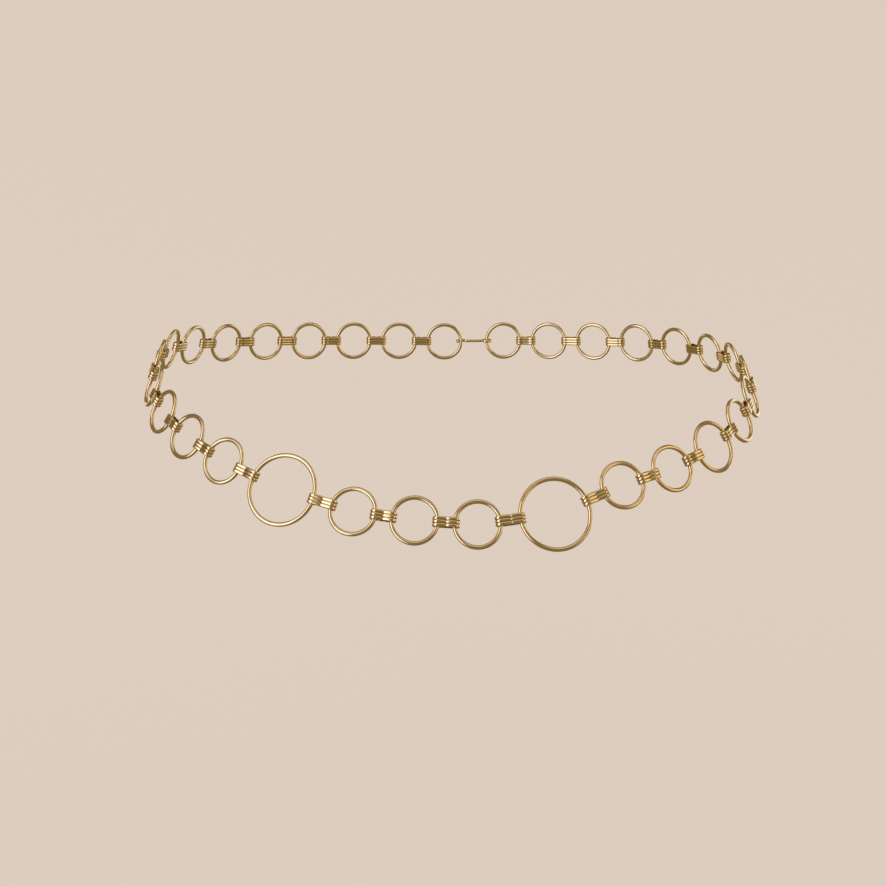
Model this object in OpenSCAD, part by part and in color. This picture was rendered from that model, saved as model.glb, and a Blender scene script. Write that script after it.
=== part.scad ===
// Waist chain: round wire rings joined by ribbed fold-over connectors into one loop worn round the hips.
// Lengths are millimetres and angles degrees. +Z is up, the wearer's front faces -Y, and right is +X, on the
// right of the chain as seen from the front.
// The origin is the middle of the loop, at the height where the chain passes the wearer's flanks.

/* [Rings] */
// Diameter of the round wire that every ring is bent from
ring_wire = 1.8; // [1.4:0.1:2.4]
// Outer diameter of a small ring
small_ring_d = 20.2; // [17:0.1:24]
// Outer diameter of each of the two large rings
large_ring_d = 30.4; // [26:0.1:36]
// Outer diameter of the one middle-sized ring, the fifth on the right
mid_ring_d = 23; // [19:0.1:27]

/* [Connectors] */
// Distance between the two wires in a connector, centre to centre
short_span = 6.5; // [5.5:0.1:9]
// The same distance in a connector that holds a large ring
long_span = 7.9; // [6.5:0.1:10]
// Radius of each of the three ribs
rib_r = 0.74; // [0.6:0.01:0.9]
// How far neighbouring ribs run into each other
rib_merge = 0.13; // [0.08:0.01:0.3]
// Depth of the strip behind the ribs' centres
rib_back = 0.1; // [0.05:0.05:0.4]
// Room all round a ring's wire inside an eye
eye_play = 0.4; // [0.3:0.05:0.6]
// How far the straight front and back strips lie inside the tops of the eyes
strip_drop = 0.15; // [0.1:0.05:0.6]
// Width of the seam where the strip's two ends meet
seam_gap = 0.2; // [0.15:0.05:0.5]

/* [Clasp] */
// Diameter of the clasp's wire
clasp_wire = 1.6; // [1.2:0.1:2]
// Diameter of the clasp's shank
clasp_shank = 1.4; // [1:0.1:1.8]
// Distance between the two ring wires that the clasp holds, centre to centre
clasp_span = 14; // [10:0.5:24]

/* [Loop] */
// Hidden rings between the last front ring and the clasp, on each arm
hidden_rings = 8; // [6:1:10]
// Depth of the hips as a share of their width
depth_share = 0.71; // [0.6:0.01:0.85]
// How square the hips' outline is, 2 being an ellipse
squareness = 2.16; // [2:0.01:2.6]
// Lean of the hips' sides from upright
side_lean = 18.4; // [5:0.1:25]
// Lean of the belly and back from upright
front_lean = 14; // [0:0.5:20]
// Drop of the chain from the flanks to the front
front_drop = 75; // [40:1:90]
// Turn of the middle ring from straight ahead, negative to the left
middle_turn = -7.2; // [-12:0.1:12]

/* [Hidden] */
$fn = 48;
ring_fn = 96;

// The chain's height round the hips: turn from the front, share of front_drop below the flanks
TURN = 0;
SHARE = 1;
ROUTE = [
    [-180, -0.17], [-150, -0.17], [-115, -0.12], [-85, 0.03], [-70, 0.31], [-55, 0.55], [-40, 0.75],
    [-25, 0.90], [-10, 0.97], [5, 1.00], [20, 0.95], [35, 0.79], [50, 0.66], [65, 0.44],
    [85, 0.13], [115, -0.10], [150, -0.17], [180, -0.17]
];

RIGHT = 1;
LEFT = -1;
front_rings = 7;
arm_rings = front_rings + hidden_rings;
arm_connectors = front_rings + 1;
small_r = (small_ring_d - ring_wire) / 2;
large_r = (large_ring_d - ring_wire) / 2;
mid_r = (mid_ring_d - ring_wire) / 2;

// Sizes of each arm's rings from the middle ring on; the rest are small
SMALL = "small";
LARGE = "large";
MID = "mid";
RIGHT_SIZES = [SMALL, LARGE, SMALL, SMALL, MID];
LEFT_SIZES = [SMALL, LARGE];

// The eye of a connector, moved out by half of what a small ring's wire bows away within its width
rib_pitch = 2 * rib_r - rib_merge;
rib_half = rib_pitch + rib_r;
wire_bow = small_r - sqrt(small_r * small_r - rib_half * rib_half);
eye_r = ring_wire / 2 + eye_play;
// Sweep of a rolled eye
eye_wrap = 320;
// The straight strips end in the eyes' walls, where their ribs' centres cross the eyes' own
wall_r = eye_r + rib_back;
strip_root = sqrt(wall_r * wall_r - (wall_r - strip_drop) * (wall_r - strip_drop));
// How far a cutter runs past what it trims
cut_past = 1;
// The clasp's open hook runs from its tip to its heel, measured from straight on past the ring
hook_tip = -60;
hook_heel = 200;
// The search for the next ring looks this far round, and both searches take this many steps
turn_reach = 25;
turn_steps = 18;
width_steps = 7;
// First guess of the hips' width, as a share of the chain's run
width_guess = 0.35;

function unit(v) = v / norm(v);
function across(v, n) = unit(v - n * (v * n));

// Size and radius of an arm's ring, and the wire-to-wire span of the connector before it
function size_of(side, i) = (side == RIGHT ? RIGHT_SIZES : LEFT_SIZES)[i - 1];
function ring_r(side, i) = size_of(side, i) == LARGE ? large_r : size_of(side, i) == MID ? mid_r : small_r;
function span(side, i) =
    size_of(side, i) == LARGE || size_of(side, i - 1) == LARGE ? long_span : short_span;

// Height shares between the rows of ROUTE follow a smooth curve with the rows' mean slopes
function route_slope(k) = let(a = ROUTE[max(k - 1, 0)], b = ROUTE[min(k + 1, len(ROUTE) - 1)])
    (b[SHARE] - a[SHARE]) / (b[TURN] - a[TURN]);
function route_row(turn, k = 0) =
    k >= len(ROUTE) - 2 || turn < ROUTE[k + 1][TURN] ? k : route_row(turn, k + 1);
function drop_share(turn) =
    let(k = route_row(turn), a = ROUTE[k], b = ROUTE[k + 1], w = b[TURN] - a[TURN], t = (turn - a[TURN]) / w)
    a[SHARE] * (1 + 2 * t) * (1 - t) * (1 - t) + b[SHARE] * t * t * (3 - 2 * t)
    + w * (route_slope(k) * t * (1 - t) * (1 - t) - route_slope(k + 1) * t * t * (1 - t));

// A point of the route and the outward direction there, on hips whose width at the flanks is given
function hip_place(turn, width) =
    let(z = -front_drop * drop_share(turn), n = squareness,
        a = width / 2 - z * tan(side_lean), b = width * depth_share / 2 - z * tan(front_lean),
        s = sin(turn), c = cos(turn),
        r = pow(pow(abs(s) / a, n) + pow(abs(c) / b, n), -1 / n),
        u = pow(r * abs(s) / a, n - 1) / a, v = pow(r * abs(c) / b, n - 1) / b)
    [[r * s, -r * c, z],
     unit([sign(s) * u, -sign(c) * v,
           u * r * abs(s) / a * tan(side_lean) + v * r * abs(c) / b * tan(front_lean)])];

// Rim point of a ring towards a direction, and the signed distance between two rings' facing rims
function rim(place, r, toward) = place[0] + r * across(toward, place[1]);
function rim_gap(p, rp, q, rq) =
    let(u = q[0] - p[0], step = rim(q, rq, -u) - rim(p, rp, u)) sign(step * u) * norm(step);

// Turn of the next ring along an arm, by halving
function next_turn(p, rp, rq, gap, width, lo, hi, steps = turn_steps) =
    let(mid = (lo + hi) / 2)
    steps == 0 ? mid
    : rim_gap(p, rp, hip_place(mid, width), rq) > gap
        ? next_turn(p, rp, rq, gap, width, lo, mid, steps - 1)
        : next_turn(p, rp, rq, gap, width, mid, hi, steps - 1);

// Places of an arm's rings from the middle ring on
function arm(side, width, i = 0, turn = middle_turn) =
    let(p = hip_place(turn, width))
    i == arm_rings ? [p]
    : concat([p], arm(side, width, i + 1,
        next_turn(p, ring_r(side, i), ring_r(side, i + 1), span(side, i + 1), width,
            turn, turn + side * turn_reach)));

// The hips are as wide as the chain is long: the width at which the clasp's span is what is left open
link_run = 2 * (arm_rings * (2 * small_r + short_span) + 2 * (large_r - small_r + long_span - short_span));
function open_gap(width) = let(r = arm(RIGHT, width), l = arm(LEFT, width))
    rim_gap(r[arm_rings], small_r, l[arm_rings], small_r);
function fit_width(width, steps = width_steps) =
    let(gap = open_gap(width)) steps == 0 ? width
    : fit_width(width * (1 - (gap - clasp_span) / link_run), steps - 1);
hip_width = fit_width(link_run * width_guess);
right_arm = arm(RIGHT, hip_width);
left_arm = arm(LEFT, hip_width);
function arm_of(side) = side == RIGHT ? right_arm : left_arm;

// Axes of a connector between two rings: along it, outward, and across it along the two wires
function link_frame(p, rp, q, rq) =
    let(u = q[0] - p[0], a = rim(p, rp, u), b = rim(q, rq, -u), x = unit(b - a),
        wires = cross(p[1], unit(a - p[0])) + cross(q[1], unit(q[0] - b)),
        w = across(wires, x))
    [(a + b) / 2, x, cross(w, -x), w];
module put(at, x, y, z) {
    multmatrix([[x[0], y[0], z[0], at[0]], [x[1], y[1], z[1], at[1]], [x[2], y[2], z[2], at[2]]]) children();
}

module ring(place, r) {
    up = across([0, 0, 1], place[1]);
    put(place[0], cross(up, place[1]), up, place[1])
        rotate_extrude($fn = ring_fn) translate([r, 0]) circle(d = ring_wire);
}

// Section of the ribbed strip: its flat back at a distance, its ribs beyond
module strip(back) {
    difference() {
        for (k = [-1:1]) translate([back + rib_back, k * rib_pitch]) circle(r = rib_r);
        translate([back - rib_r, -rib_half - cut_past]) square([rib_r, 2 * (rib_half + cut_past)]);
    }
}
module straight_strip(from, to) {
    translate([from, 0]) rotate([90, 0, 90]) linear_extrude(to - from) strip(eye_r - strip_drop);
}

// A connector along X, its ribs side by side along Z: two rolled eyes, a back strip and a front strip
// with a seam in its middle
module connector(wires_apart) {
    eye_x = (wires_apart + wire_bow) / 2;
    strip_end = eye_x - strip_root;
    for (side = [0, 180]) rotate([0, 0, side]) translate([eye_x, 0])
        rotate([0, 0, -eye_wrap / 2]) rotate_extrude(angle = eye_wrap) strip(eye_r);
    mirror([0, 1, 0]) straight_strip(-strip_end, strip_end);
    straight_strip(-strip_end, -seam_gap / 2);
    straight_strip(seam_gap / 2, strip_end);
}

module arm_ring(side, i) {
    ring(arm_of(side)[i], ring_r(side, i));
}
module arm_connector(side, i) {
    p = arm_of(side)[i - 1];
    q = arm_of(side)[i];
    f = side == RIGHT ? link_frame(p, ring_r(side, i - 1), q, ring_r(side, i))
        : link_frame(q, ring_r(side, i), p, ring_r(side, i - 1));
    put(f[0], f[1], f[2], f[3]) connector(span(side, i));
}

module middle_ring() {
    color("darkkhaki") ring(right_arm[0], small_r);
}
module front_ring(side, i) {
    color("darkkhaki") arm_ring(side, i);
}
module front_connector(side, i) {
    color("goldenrod") arm_connector(side, i);
}
module back_chain(side) {
    color("darkkhaki") for (i = [front_rings + 1:arm_rings]) arm_ring(side, i);
    color("goldenrod") for (i = [arm_connectors + 1:arm_rings]) arm_connector(side, i);
}

// A plain wire clasp: a closed eye round one ring, a shank and an open hook through the other
module back_clasp() {
    bend_r = ring_wire / 2 + eye_play + clasp_wire / 2;
    shank_half = clasp_span / 2 - bend_r;
    f = link_frame(right_arm[arm_rings], small_r, left_arm[arm_rings], small_r);
    color("darkkhaki") put(f[0], f[1], f[2], f[3]) {
        translate([-clasp_span / 2, 0]) rotate_extrude() translate([bend_r, 0]) circle(d = clasp_wire);
        translate([-shank_half, 0]) rotate([0, 90, 0]) cylinder(d = clasp_shank, h = 2 * shank_half);
        translate([clasp_span / 2, 0]) rotate([0, 0, hook_tip])
            rotate_extrude(angle = hook_heel - hook_tip) translate([bend_r, 0]) circle(d = clasp_wire);
    }
}

middle_ring();
for (i = [1:front_rings]) {
    front_ring(RIGHT, i);
    front_ring(LEFT, i);
}
for (i = [1:arm_connectors]) {
    front_connector(RIGHT, i);
    front_connector(LEFT, i);
}
back_chain(RIGHT);  // back_chain_right
back_chain(LEFT);  // back_chain_left
back_clasp();
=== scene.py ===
import bmesh
import bpy
import numpy as np
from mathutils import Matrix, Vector


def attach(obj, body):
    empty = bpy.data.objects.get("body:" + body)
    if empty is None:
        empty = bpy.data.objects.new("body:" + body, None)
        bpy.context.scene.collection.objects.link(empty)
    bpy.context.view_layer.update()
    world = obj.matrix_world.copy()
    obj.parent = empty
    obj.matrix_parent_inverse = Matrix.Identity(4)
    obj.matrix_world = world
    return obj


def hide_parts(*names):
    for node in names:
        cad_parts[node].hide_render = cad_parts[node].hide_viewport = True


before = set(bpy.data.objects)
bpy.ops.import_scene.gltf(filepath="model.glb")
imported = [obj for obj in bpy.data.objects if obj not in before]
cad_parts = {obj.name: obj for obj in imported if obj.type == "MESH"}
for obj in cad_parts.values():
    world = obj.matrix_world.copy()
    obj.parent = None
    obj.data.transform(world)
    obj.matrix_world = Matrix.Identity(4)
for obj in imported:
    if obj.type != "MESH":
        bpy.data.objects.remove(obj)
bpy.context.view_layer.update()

# The rings. Each is a length of round drawn brass wire bent to a hoop, its two ends brazed together and filed
# flush, then tumbled and gilt. Its middle, plane and radii are measured from its solid, and it lies there.
MM = 0.001
MERGE = 0.001 * MM
RING_STEPS = (176, 28)
HAND_BEND = 0.0035
SECOND_WAVE = 0.5
JOINT_SWELL = 0.012
JOINT_LENGTH = 0.9 * MM
JOINT_TARNISH = 0.35


def corners(mesh):
    """Every corner of a mesh as a row of x, y and z in metres."""
    flat = np.empty(3 * len(mesh.vertices), np.float32)
    mesh.vertices.foreach_get("co", flat)
    return flat.reshape(-1, 3).astype(float)


def unit(v):
    """The vector, or each row of vectors, divided by its own length."""
    return v / np.linalg.norm(v, axis=-1, keepdims=True)


def measure_hoop(points):
    """A torus's middle, outward normal, mid-wire radius and wire radius from points on its surface.

    The normal is the direction of least spread, turned away from the Z axis. The middle is halfway between
    the extremes along each of the three main directions. Within the plane, the distances from the middle run
    from the mid-wire radius less the wire's to the sum of the two.
    """
    mean = points.mean(0)
    axes = np.linalg.svd((points - mean).T @ (points - mean))[2]
    reach = (points - mean) @ axes.T
    middle = mean + (reach.max(0) + reach.min(0)) / 2 @ axes
    normal = axes[2] * np.sign(axes[2][:2] @ middle[:2])
    offset = points - middle
    reach = np.linalg.norm(offset - np.outer(offset @ normal, normal), axis=1)
    return {"middle": middle, "normal": normal, "radius": (reach.max() + reach.min()) / 2,
            "wire": (reach.max() - reach.min()) / 2}


def grid_faces(rows, columns):
    """Quads of a grid that closes on itself both ways: each joins a point to the next row's and column's."""
    row, column = np.meshgrid(np.arange(rows), np.arange(columns), indexing="ij")
    below, beside = (row + 1) % rows, (column + 1) % columns
    quads = np.stack([row * columns + column, below * columns + column,
                      below * columns + beside, row * columns + beside], -1)
    return quads.reshape(-1, 4)


def hoop_surface(ring, seed, steps=RING_STEPS):
    """A hoop of round wire as points, quads, lengths along and round the wire, and tarnish at the joint.

    With a the angle round the hoop and b the angle round the wire, a point is middle + (R + r cos b) times
    the direction at a + r sin b times the normal. R falls short of the solid's by two slow waves, as in a
    hoop bent by hand, and r swells to the solid's in a bell-shaped bump at the brazed joint.
    """
    rng = np.random.default_rng(seed)
    a = np.linspace(0, 2 * np.pi, steps[0], endpoint=False)[:, None]
    b = np.linspace(0, 2 * np.pi, steps[1], endpoint=False)[None, :]
    east = unit(np.cross([0.0, 0.0, 1.0], ring["normal"]))
    up = np.cross(ring["normal"], east)
    phase = rng.uniform(0, 2 * np.pi, 2)
    joint = rng.uniform(0, 2 * np.pi)
    away = ring["radius"] * np.abs((a - joint + np.pi) % (2 * np.pi) - np.pi)
    braze = np.exp(-(away / JOINT_LENGTH) ** 2)
    waves = np.sin(2 * a + phase[0]) + SECOND_WAVE * np.sin(3 * a + phase[1])
    bend = 1 + HAND_BEND * (waves - (1 + SECOND_WAVE))
    wire = ring["wire"] * (1 + JOINT_SWELL * (braze - 1))
    across = (ring["radius"] * bend + wire * np.cos(b))[..., None]
    points = (ring["middle"] + across * (np.cos(a)[..., None] * east + np.sin(a)[..., None] * up)
              + (wire * np.sin(b))[..., None] * ring["normal"])
    along = np.broadcast_to(a * ring["radius"], points.shape[:2])
    around = np.broadcast_to(b * ring["wire"], points.shape[:2])
    return {"points": points.reshape(-1, 3), "faces": grid_faces(*steps),
            "along": along.ravel(), "around": around.ravel(),
            "recess": np.broadcast_to(JOINT_TARNISH * braze, points.shape[:2]).ravel()}


def joined(surfaces):
    """Several surfaces as one: their arrays follow each other and their faces count on from the last."""
    starts = np.cumsum([0] + [len(s["points"]) for s in surfaces[:-1]])
    out = {k: np.concatenate([s[k] for s in surfaces]) for k in ("points", "along", "around", "recess")}
    out["faces"] = np.concatenate([s["faces"] + first for s, first in zip(surfaces, starts)])
    return out


def make_piece(name, surface, material, nodes):
    """A smooth mesh from a surface's arrays, riding the chain in place of its CAD nodes."""
    mesh = bpy.data.meshes.new(name)
    mesh.from_pydata(surface["points"], [], surface["faces"].tolist())
    for key in ("along", "around", "recess"):
        attribute = mesh.attributes.new(key, "FLOAT", "POINT")
        attribute.data.foreach_set("value", surface[key].astype(np.float32))
    mesh.polygons.foreach_set("use_smooth", np.ones(len(mesh.polygons), bool))
    solid = bmesh.new()
    solid.from_mesh(mesh)
    bmesh.ops.remove_doubles(solid, verts=solid.verts, dist=MERGE)
    bmesh.ops.recalc_face_normals(solid, faces=solid.faces)
    solid.to_mesh(mesh)
    solid.free()
    piece = bpy.data.objects.new(name, mesh)
    bpy.context.scene.collection.objects.link(piece)
    piece.data.materials.append(material)
    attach(piece, "root")
    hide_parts(*nodes)


def new_group(name, inputs, outputs):
    """An empty shader node group with the named sockets, and its two end nodes."""
    group = bpy.data.node_groups.new(name, "ShaderNodeTree")
    for label, kind, value in inputs:
        socket = group.interface.new_socket(label, in_out="INPUT", socket_type=kind)
        if value is not None:
            socket.default_value = value
    for label, kind in outputs:
        group.interface.new_socket(label, in_out="OUTPUT", socket_type=kind)
    return group, group.nodes.new("NodeGroupInput"), group.nodes.new("NodeGroupOutput")


def math_node(tree, operation, a, b=None, clamp=False):
    """A Math node of the operation; each of a and b is an output socket or a number."""
    node = tree.nodes.new("ShaderNodeMath")
    node.operation = operation
    node.use_clamp = clamp
    for socket, value in zip(node.inputs, (a, b)):
        if isinstance(value, bpy.types.NodeSocket):
            tree.links.new(value, socket)
        elif value is not None:
            socket.default_value = value
    return node.outputs[0]


def noise_node(tree, vector, scale, detail):
    """A Noise Texture's value at that scale, in cycles a metre."""
    node = tree.nodes.new("ShaderNodeTexNoise")
    node.inputs["Scale"].default_value = scale
    node.inputs["Detail"].default_value = detail
    tree.links.new(vector, node.inputs["Vector"])
    return node.outputs["Fac"]


BROAD_PATCHES = 130
FINE_PATCHES = 900
BROAD_SHARE = 0.65


def tarnish_and_shade_group():
    """Polished gilding that dulls and browns in recesses and in soft patches, as a colour and a mask.
    In the strips' grooves this recess darkening is painted shade as well as tarnish.

    The patches are two noises, in cycles a metre, less their mean of a half. BROAD_SHARE is the broad one's.
    """
    group, given, out = new_group(
        "tarnish",
        [("Place", "NodeSocketVector", None), ("Recess", "NodeSocketFloat", 0.0),
         ("Polished", "NodeSocketColor", None), ("Tarnish_and_shade", "NodeSocketColor", None),
         ("Patchiness", "NodeSocketFloat", 0.5), ("Depth", "NodeSocketFloat", 0.8)],
        [("Color", "NodeSocketColor"), ("Mask", "NodeSocketFloat")])
    broad = noise_node(group, given.outputs["Place"], BROAD_PATCHES, 3)
    broad = math_node(group, "MULTIPLY", broad, BROAD_SHARE)
    fine = noise_node(group, given.outputs["Place"], FINE_PATCHES, 4)
    fine = math_node(group, "MULTIPLY", fine, 1 - BROAD_SHARE)
    patch = math_node(group, "SUBTRACT", math_node(group, "ADD", broad, fine), 0.5)
    patch = math_node(group, "MULTIPLY", patch, given.outputs["Patchiness"])
    deep = math_node(group, "MULTIPLY", given.outputs["Recess"], given.outputs["Depth"])
    mask = math_node(group, "ADD", deep, patch, clamp=True)
    mix = group.nodes.new("ShaderNodeMix")
    mix.data_type = "RGBA"
    group.links.new(mask, mix.inputs["Factor"])
    group.links.new(given.outputs["Polished"], mix.inputs["A"])
    group.links.new(given.outputs["Tarnish_and_shade"], mix.inputs["B"])
    group.links.new(mix.outputs["Result"], out.inputs["Color"])
    group.links.new(mask, out.inputs["Mask"])
    return group


LINE_FINENESS = 7000
LINE_STRETCH = 100


def drawing_group():
    """The long fine lines that a drawing die or a rolling mill leaves, as a height and a roughness.

    They are noise of LINE_FINENESS cycles a metre across the metal's run, LINE_STRETCH times longer along it.
    """
    group, given, out = new_group(
        "drawing_lines",
        [("Along", "NodeSocketFloat", 0.0), ("Around", "NodeSocketFloat", 0.0),
         ("Base Roughness", "NodeSocketFloat", 0.2), ("Spread", "NodeSocketFloat", 0.1),
         ("Mask", "NodeSocketFloat", 0.0)],
        [("Height", "NodeSocketFloat"), ("Roughness", "NodeSocketFloat")])
    place = group.nodes.new("ShaderNodeCombineXYZ")
    group.links.new(math_node(group, "MULTIPLY", given.outputs["Along"], 1 / LINE_STRETCH), place.inputs["X"])
    group.links.new(given.outputs["Around"], place.inputs["Y"])
    lines = noise_node(group, place.outputs["Vector"], LINE_FINENESS, 3)
    rough = math_node(group, "ADD", lines, given.outputs["Mask"])
    rough = math_node(group, "MULTIPLY", rough, given.outputs["Spread"])
    rough = math_node(group, "ADD", given.outputs["Base Roughness"], rough, clamp=True)
    group.links.new(lines, out.inputs["Height"])
    group.links.new(rough, out.inputs["Roughness"])
    return group


def attribute_value(tree, name):
    """The value of a mesh attribute as a socket."""
    node = tree.nodes.new("ShaderNodeAttribute")
    node.attribute_name = name
    return node.outputs["Fac"]


def gilt_material(name, polished, tarnish_and_shade_colour, patchiness, depth, roughness, spread, bump):
    """Gilt brass: the tarnish and shade group's colour and the drawing lines' roughness and height on one
    metal.
    """
    material = bpy.data.materials.new(name)
    material.use_nodes = True
    tree = material.node_tree
    metal = tree.nodes["Principled BSDF"]
    metal.inputs["Metallic"].default_value = 1.0
    place = tree.nodes.new("ShaderNodeTexCoord").outputs["Object"]
    tone = tree.nodes.new("ShaderNodeGroup")
    tone.node_tree = TARNISH_AND_SHADE
    tree.links.new(place, tone.inputs["Place"])
    tree.links.new(attribute_value(tree, "recess"), tone.inputs["Recess"])
    tone.inputs["Polished"].default_value = (*polished, 1)
    tone.inputs["Tarnish_and_shade"].default_value = (*tarnish_and_shade_colour, 1)
    tone.inputs["Patchiness"].default_value = patchiness
    tone.inputs["Depth"].default_value = depth
    lines = tree.nodes.new("ShaderNodeGroup")
    lines.node_tree = DRAWING_LINES
    tree.links.new(attribute_value(tree, "along"), lines.inputs["Along"])
    tree.links.new(attribute_value(tree, "around"), lines.inputs["Around"])
    tree.links.new(tone.outputs["Mask"], lines.inputs["Mask"])
    lines.inputs["Base Roughness"].default_value = roughness
    lines.inputs["Spread"].default_value = spread
    relief = tree.nodes.new("ShaderNodeBump")
    relief.inputs["Strength"].default_value = 1.0
    relief.inputs["Distance"].default_value = bump
    tree.links.new(lines.outputs["Height"], relief.inputs["Height"])
    tree.links.new(tone.outputs["Color"], metal.inputs["Base Color"])
    tree.links.new(lines.outputs["Roughness"], metal.inputs["Roughness"])
    tree.links.new(relief.outputs["Normal"], metal.inputs["Normal"])
    return material


TARNISH_AND_SHADE = tarnish_and_shade_group()
DRAWING_LINES = drawing_group()
RING_GILT = gilt_material("ring_gilt", polished=(0.83, 0.67, 0.45), tarnish_and_shade_colour=(0.48, 0.33, 0.12),
                          patchiness=0.5, depth=0.8, roughness=0.15, spread=0.08, bump=0.0006 * MM)

SIDES = {"right": 1, "left": -1}
FRONT_RINGS = 7
rings = {"middle_ring": measure_hoop(corners(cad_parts["middle_ring"].data))}
make_piece("middle_hoop", hoop_surface(rings["middle_ring"], seed=1), RING_GILT, ["middle_ring"])
for side in SIDES:
    for i in range(1, FRONT_RINGS + 1):
        node = f"{side}_ring_{i}"
        rings[node] = measure_hoop(corners(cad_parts[node].data))
        surface = hoop_surface(rings[node], seed=10 * i + SIDES[side] + 2)
        make_piece(f"{side}_hoop_{i}", surface, RING_GILT, [node])

# The connectors. Each is a strip of three half-round ribs side by side, rolled from brass and folded round
# the wires of two neighbouring rings, so that its ends meet in a fine seam in the middle of the front. It is
# gilt before it is folded, and darkens in its grooves with tarnish and with painted shade.
RIB = 0.74 * MM
RIB_POWER = 2.8
RIB_PITCH = 1.35 * MM
STRIP_BACK = 0.1 * MM
BACK_RECESS = 0.1
EYE_BORE = 0.4 * MM
BACK_DROP = 0.15 * MM
BACK_BLEND = 1.8 * MM
FRONT_LEAN = 0.08
FRONT_BLEND = 0.6 * MM
CURL = 0.21
CURL_LENGTH = 2.3 * MM
SEAM = 0.10 * MM
TIP_LENGTH = 0.35 * MM
TIP_TARNISH = 0.8


def strip_section(per_rib=17, back=4):
    """The strip's section as offsets outward and across, each point's rib, and how recessed it is.

    Over each rib it is part of the superellipse (across / RIB)^p + (out / RIB)^p = 1 with p = RIB_POWER, from
    groove to groove, and behind each rib a straight stretch of the flat back. Neighbouring ribs have a point
    each where they meet, so that each rib can taper by itself. On the front the recess is the cube of
    1 - distance from the nearest groove / half a pitch, and on the back it is even. On the front it darkens
    the grooves with tarnish and with painted shade.
    """
    half = RIB_PITCH / 2
    groove = np.arccos((half / RIB) ** (RIB_POWER / 2))
    edge = np.arcsin((STRIP_BACK / RIB) ** (RIB_POWER / 2))
    arcs = [(np.pi + edge, groove), (np.pi - groove, groove), (np.pi - groove, -edge)]
    out, across, rib = [], [], []

    def swell(x):
        return np.sign(x) * np.abs(x) ** (2 / RIB_POWER)

    for k, (start, end) in zip((-1, 0, 1), arcs):
        angle = np.linspace(start, end, per_rib)
        out.append(RIB * swell(np.sin(angle)))
        across.append(k * RIB_PITCH + RIB * swell(np.cos(angle)))
        rib.append(np.full(per_rib, k))
    reach = RIB * swell(np.cos(edge))
    for k, start, end in ((1, reach, -half), (0, half, -half), (-1, half, -reach)):
        share = (np.arange(back) + 0.5) / back
        out.append(np.full(back, -STRIP_BACK))
        across.append(k * RIB_PITCH + start + (end - start) * share)
        rib.append(np.full(back, k))
    out, across, rib = np.concatenate(out), np.concatenate(across), np.concatenate(rib)
    near_groove = np.clip(1 - np.abs(np.abs(across) - half) / half, 0, 1)
    # The front's recess darkens the grooves with tarnish and painted shade.
    return out, across, rib, np.where(out > -STRIP_BACK / 2, near_groove ** 3, BACK_RECESS)


def strip_route(eye_x, eye_radius, tip_steps=9, front_steps=26, eye_steps=30, back_steps=16):
    """The ribs' middle line from one side of the seam to the other: points, outward directions and lengths.

    It is half a circle round each eye. From the eye the front strip leans in with a slope that grows to
    FRONT_LEAN, and near the seam by CURL more, and its height is the sum of that slope. The back strip sinks
    by a smooth step of BACK_DROP.
    """
    tip = SEAM / 2 + TIP_LENGTH * (1 - np.cos(np.linspace(0, np.pi / 2, tip_steps)))
    front_x = np.concatenate([tip, np.linspace(tip[-1], eye_x, front_steps)[1:]])
    slope = (FRONT_LEAN * np.clip((eye_x - front_x) / FRONT_BLEND, 0, 1)
             + CURL * np.clip(1 - front_x / CURL_LENGTH, 0, 1))
    rise = np.concatenate([[0], np.cumsum((slope[1:] + slope[:-1]) / 2 * np.diff(front_x))])
    back_x = np.linspace(eye_x, 0, back_steps)
    step = np.clip((eye_x - back_x) / BACK_BLEND, 0, 1)
    back_y = BACK_DROP * step ** 2 * (3 - 2 * step) - eye_radius
    angle = np.linspace(np.pi / 2, -np.pi / 2, eye_steps)[1:-1]
    eye = [eye_x, 0] + eye_radius * np.stack([np.cos(angle), np.sin(angle)], 1)
    right = np.concatenate([np.stack([front_x, eye_radius + rise - rise[-1]], 1), eye,
                            np.stack([back_x, back_y], 1)])
    points = np.concatenate([right, (right[::-1] * [-1, 1])[1:]])
    run = unit(np.gradient(points, axis=0))
    lengths = np.concatenate([[0], np.cumsum(np.linalg.norm(np.diff(points, axis=0), axis=1))])
    return points, np.stack([-run[:, 1], run[:, 0]], 1), lengths


def placed(flat, side, link):
    """Points given in a link's plane and their offsets across it, carried to where the link sits."""
    within = link["middle"] + flat[..., :1] * link["x"] + flat[..., 1:] * link["y"]
    return within + side[..., None] * link["z"]


def tube_faces(rows, columns):
    """Quads of a grid that closes on itself only round its rows: the last row isn't joined to the first."""
    return grid_faces(rows, columns).reshape(rows, columns, 4)[:-1].reshape(-1, 4)


def strip_surface(link):
    """The folded strip of one connector: the section carried along the route, tapering to a dome at each tip.

    At the distance s from a tip the section of each rib is scaled about its own middle by the root of
    1 - (1 - s / tip length) squared, which closes it in a quarter of an ellipse.
    """
    out, across, rib, hollow = strip_section()
    bow = link["bend"] - np.sqrt(link["bend"] ** 2 - (RIB_PITCH + RIB) ** 2)
    eye = link["wire"] + EYE_BORE + STRIP_BACK
    points, outs, lengths = strip_route((link["span"] + bow) / 2, eye)
    from_tip = np.minimum(lengths, lengths[-1] - lengths)
    taper = np.sqrt(np.clip(1 - np.clip(1 - from_tip / TIP_LENGTH, 0, 1) ** 2, 0, 1))
    rise = out[None, :] * taper[:, None]
    side = rib * RIB_PITCH + (across - rib * RIB_PITCH) * taper[:, None]
    flat = points[:, None, :] + rise[..., None] * outs[:, None, :]
    place = placed(flat, side, link)
    rows, columns = side.shape
    # hollow darkens the grooves with tarnish and painted shade; the tips add tarnish at the seam.
    recess = np.clip(hollow + TIP_TARNISH * (1 - taper[:, None]) ** 2, 0, 1)
    return {"points": place.reshape(-1, 3), "faces": tube_faces(rows, columns),
            "along": np.broadcast_to(lengths[:, None], side.shape).ravel(),
            "around": np.broadcast_to(across, side.shape).ravel(), "recess": recess.ravel()}


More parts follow.
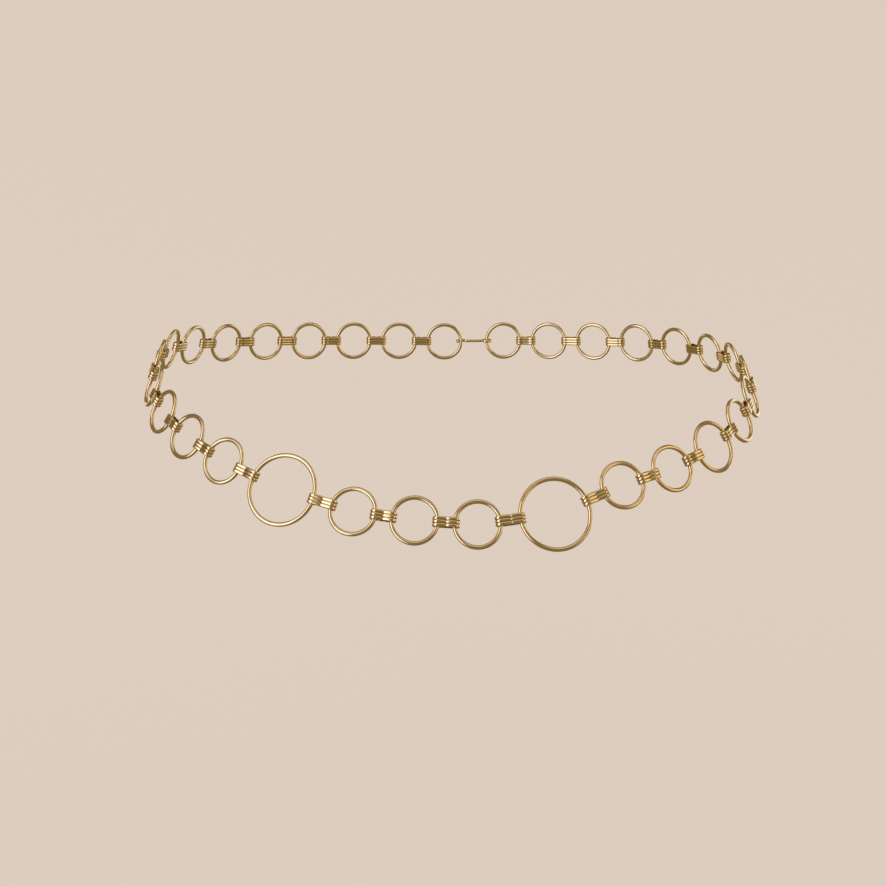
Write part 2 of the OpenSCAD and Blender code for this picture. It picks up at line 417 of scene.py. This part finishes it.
def link_between(left, right, bend):
    """Where a connector sits between two rings: its middle, its span and its three axes.

    x runs between the points of the two hoops that face each other, z along the two wires there, and y
    outwards. bend is the radius whose bow within the strip's width the eyes leave room for.
    """
    step = right["middle"] - left["middle"]

    def rim(ring, toward):
        inward = toward - ring["normal"] * (toward @ ring["normal"])
        return ring["middle"] + ring["radius"] * unit(inward)

    a, b = rim(left, step), rim(right, -step)
    x = unit(b - a)
    left_wire = np.cross(left["normal"], unit(a - left["middle"]))
    right_wire = np.cross(right["normal"], unit(right["middle"] - b))
    wires = left_wire + right_wire
    z = unit(wires - x * (wires @ x))
    return {"middle": (a + b) / 2, "span": np.linalg.norm(b - a), "x": x, "y": np.cross(x, z), "z": z,
            "bend": bend, "wire": max(left["wire"], right["wire"])}


def loose_parts(mesh):
    """The separate solids of a mesh of loose triangles, as arrays of points.

    Corners within MERGE are one point. Each point takes the lowest number among the triangles that it is on,
    again and again until no number changes, so that each solid ends with one number.
    """
    points, index = np.unique(np.round(corners(mesh) / MERGE).astype(np.int64), axis=0, return_inverse=True)
    loops = np.empty(len(mesh.loops), np.int32)
    mesh.loops.foreach_get("vertex_index", loops)
    triangles = index.ravel()[loops].reshape(-1, 3)
    number = np.arange(len(points))
    while True:
        lower = number.copy()
        np.minimum.at(lower, triangles.ravel(), np.repeat(number[triangles].min(1), 3))
        lower = lower[lower]
        if np.array_equal(lower, number):
            return [points[number == k] * MERGE for k in np.unique(number)]
        number = lower


# The strips' tarnish colour is also the painted shade in their grooves.
STRIP_GILT = gilt_material("strip_gilt", polished=(0.85, 0.71, 0.50), tarnish_and_shade_colour=(0.46, 0.26, 0.05),
                           patchiness=0.35, depth=0.85, roughness=0.13, spread=0.08, bump=0.0004 * MM)
LEAST_RING_WIDTH = 15 * MM
small_radius = rings["middle_ring"]["radius"]


def turn_of(ring, side):
    """The angle round the loop from the front, growing along that side's arm."""
    return np.degrees(np.arctan2(side * ring["middle"][0], -ring["middle"][1])) % 360


arms = {}
for side, sign in SIDES.items():
    parts = loose_parts(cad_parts[f"back_chain_{side}"].data)
    hidden = [measure_hoop(p) for p in parts if np.ptp(p, axis=0).max() > LEAST_RING_WIDTH]
    hidden.sort(key=lambda ring: turn_of(ring, sign))
    front = [rings[f"{side}_ring_{i}"] for i in range(1, FRONT_RINGS + 1)]
    arms[side] = [rings["middle_ring"]] + front + hidden


def arm_strip(side, i):
    """The surface of the connector before an arm's ring, its x axis to the right as seen from the front."""
    pair = [arms[side][i - 1], arms[side][i]]
    if side == "left":
        pair.reverse()
    return strip_surface(link_between(*pair, bend=small_radius))


for side in SIDES:
    for i in range(1, FRONT_RINGS + 2):
        surface = arm_strip(side, i)
        make_piece(f"{side}_strip_{i}", surface, STRIP_GILT, [f"{side}_connector_{i}"])

# The stretch behind the hips. It is more of the same small rings and connectors, loose in one another, on
# each side as far as the clasp. Its hoops have fewer faces, because each side is one piece.
BACK_STEPS = (128, 22)
for side in SIDES:
    first = FRONT_RINGS + 1
    hoops = [hoop_surface(ring, seed=100 + i, steps=BACK_STEPS) for i, ring in enumerate(arms[side][first:])]
    strips = [arm_strip(side, i) for i in range(first + 1, len(arms[side]))]
    # The strips here darken in their grooves with tarnish and painted shade, in the rings' gilt.
    make_piece(f"{side}_back_hoops", joined(hoops + strips), RING_GILT, [f"back_chain_{side}"])

# The clasp. It is one length of brass wire, looped shut round the last ring of the right arm, run across,
# and bent into an open hook through the last ring of the left arm. Its ends are round and its shank thinner.
CLASP_RADIUS = 0.8 * MM
SHANK_RADIUS = 0.7 * MM
SHANK_TAPER = 2 * MM
END_TARNISH = 0.5
CLASP_BEND = rings["middle_ring"]["wire"] + EYE_BORE + CLASP_RADIUS
HEEL = 1.3 * MM
EYE_END = np.radians(-42)
HOOK_END = np.radians(-60)


def heel_bend(centre_x, side, steps=10):
    """The short bend from the shank's line onto an eye's circle, and the angle at which it meets that circle.

    Its own circle, of radius HEEL, touches the shank's line from above and the eye's circle from outside.
    """
    reach = np.sqrt((CLASP_BEND + HEEL) ** 2 - HEEL ** 2)
    meet = np.arctan2(HEEL, reach)
    centre = np.array([centre_x + side * reach, HEEL])
    angle = np.linspace(-np.pi / 2, -np.pi + meet, steps)
    return centre + HEEL * np.stack([side * np.cos(angle), np.sin(angle)], 1), meet


def clasp_route(span, eye_steps=72, hook_steps=56, shank_steps=16):
    """The clasp wire's middle line: round the closed eye, along the shank, and round the hook to its tip."""
    heel, meet = heel_bend(-span / 2, 1)
    angle = np.linspace(EYE_END, meet - 2 * np.pi, eye_steps)
    eye = [-span / 2, 0] + CLASP_BEND * np.stack([np.cos(angle), np.sin(angle)], 1)
    far_heel, meet = heel_bend(span / 2, -1)
    angle = np.linspace(np.pi - meet, HOOK_END, hook_steps)
    hook = [span / 2, 0] + CLASP_BEND * np.stack([np.cos(angle), np.sin(angle)], 1)
    shank = np.linspace(heel[0], far_heel[0], shank_steps)[1:-1]
    return np.concatenate([eye[:-1], heel[::-1], shank, far_heel, hook[1:]])


def clasp_surface(link, sides=24):
    """A round section carried along the clasp's line, thinner on the shank and domed at both ends."""
    route = clasp_route(link["span"])
    lengths = np.concatenate([[0], np.cumsum(np.linalg.norm(np.diff(route, axis=0), axis=1))])
    run = unit(np.gradient(route, axis=0))
    beside = np.stack([-run[:, 1], run[:, 0]], 1)
    on_shank = np.clip((link["span"] / 2 - CLASP_BEND - np.abs(route[:, 0])) / SHANK_TAPER + 0.5, 0, 1)
    from_tip = np.minimum(lengths, lengths[-1] - lengths)
    dome = np.sqrt(np.clip(1 - np.clip(1 - from_tip / CLASP_RADIUS, 0, 1) ** 2, 0, 1))
    radius = (CLASP_RADIUS + (SHANK_RADIUS - CLASP_RADIUS) * on_shank) * dome
    turn = np.linspace(0, 2 * np.pi, sides, endpoint=False)
    flat = route[:, None, :] + (radius[:, None] * np.cos(turn))[..., None] * beside[:, None, :]
    side = radius[:, None] * np.sin(turn)
    points = placed(flat, side, link)
    return {"points": points.reshape(-1, 3), "faces": tube_faces(len(route), sides),
            "along": np.broadcast_to(lengths[:, None], side.shape).ravel(),
            "around": np.broadcast_to(turn * CLASP_RADIUS, side.shape).ravel(),
            "recess": np.broadcast_to(END_TARNISH * (1 - dome[:, None]), side.shape).ravel()}


clasp_link = link_between(arms["right"][-1], arms["left"][-1], bend=small_radius)
make_piece("hook_clasp", clasp_surface(clasp_link), RING_GILT, ["back_clasp"])

# The floor. A pale matt sweep of painted board, a hip's height below the chain, rises into a wall all round.
# It glows a little by itself, so that it stays even from every side, and gives no reflection in the metal.
FLOOR = -1.20
SWEEP_MIDDLE = 0.0001
SWEEP_FLAT = 2.0
SWEEP_CURVE = 0.9
SWEEP_TOP = 4.4
SWEEP_COLOUR = (0.15, 0.14, 0.13, 1)
SWEEP_GLOW = (0.61, 0.52, 0.445, 1)


def sweep_surface(steps=96, curve_steps=24):
    """A profile turned round the Z axis: flat floor, quarter circle, upright wall."""
    rise = np.linspace(0, np.pi / 2, curve_steps)
    curve = SWEEP_FLAT + SWEEP_CURVE * np.sin(rise)
    radius = np.concatenate([[SWEEP_MIDDLE, SWEEP_FLAT / 2], curve, [SWEEP_FLAT + SWEEP_CURVE]])
    height = np.concatenate([[0, 0], SWEEP_CURVE * (1 - np.cos(rise)), [SWEEP_TOP]])
    turn = np.linspace(0, 2 * np.pi, steps, endpoint=False)
    points = np.stack([radius[:, None] * np.cos(turn), radius[:, None] * np.sin(turn),
                       FLOOR + np.broadcast_to(height[:, None], (len(height), steps))], -1)
    return points.reshape(-1, 3), tube_faces(len(radius), steps)


sweep_mesh = bpy.data.meshes.new("sweep")
sweep_points, sweep_faces = sweep_surface()
sweep_mesh.from_pydata(sweep_points, [], sweep_faces[:, ::-1].tolist())
sweep_mesh.polygons.foreach_set("use_smooth", np.ones(len(sweep_mesh.polygons), bool))
sweep = bpy.data.objects.new("sweep", sweep_mesh)
bpy.context.scene.collection.objects.link(sweep)
sweep.visible_glossy = False
sweep.visible_shadow = False
matt = bpy.data.materials.new("sweep_matt")
matt.use_nodes = True
paint = matt.node_tree.nodes["Principled BSDF"]
paint.inputs["Base Color"].default_value = SWEEP_COLOUR
paint.inputs["Roughness"].default_value = 0.9
paint.inputs["Emission Color"].default_value = SWEEP_GLOW
paint.inputs["Emission Strength"].default_value = 1.0
sweep_mesh.materials.append(matt)

# The light. Soft boxes stand round the chain, the strongest on the left, as in the photograph, and two more
# light the back. The world's dim warm tone is what the metal shows between them.
AIM = Vector((0, 0, -0.04))


def softbox(name, place, size, power, tint):
    """A rectangular area light, its size in metres and its power in watts, aimed at the chain's middle."""
    data = bpy.data.lights.new(name, "AREA")
    data.shape = "RECTANGLE"
    data.size, data.size_y = size
    data.energy = power
    data.color = tint
    light = bpy.data.objects.new(name, data)
    light.location = place
    light.rotation_euler = (AIM - Vector(place)).to_track_quat("-Z", "Y").to_euler()
    light.visible_camera = False
    bpy.context.scene.collection.objects.link(light)


softbox("key", (-1.02, -1.06, 0.00), (1.20, 2.20), 11.8, (1.0, 1.02, 1.08))
softbox("right", (1.16, -0.66, 0.10), (0.75, 1.30), 2.9, (1.0, 0.79, 0.48))
softbox("overhead", (0.0, -0.60, 1.20), (1.60, 1.20), 3.4, (1.0, 0.95, 0.86))
softbox("back_left", (-0.9, 1.2, 0.3), (0.60, 1.10), 1.6, (1.0, 0.88, 0.72))
softbox("back_right", (1.2, 0.9, 0.3), (1.20, 1.40), 5.0, (1.0, 0.97, 0.93))

world = bpy.data.worlds.new("studio")
bpy.context.scene.world = world
world.use_nodes = True
world.node_tree.nodes["Background"].inputs["Color"].default_value = (0.25, 0.185, 0.078, 1)
world.node_tree.nodes["Background"].inputs["Strength"].default_value = 1.0
bpy.context.scene.view_settings.view_transform = "Standard"

# The camera. It stands level in front of the chain, at the height and distance that the photograph's
# perspective gives.
camera = bpy.data.objects.new("camera", bpy.data.cameras.new("camera"))
camera.location = (-0.0033, -0.640, -0.043)
camera.rotation_euler = (np.pi / 2, 0, 0)
camera.data.sensor_width = 36
camera.data.lens = 54.28
camera.data.clip_start = 0.01
bpy.context.scene.collection.objects.link(camera)
bpy.context.scene.camera = camera
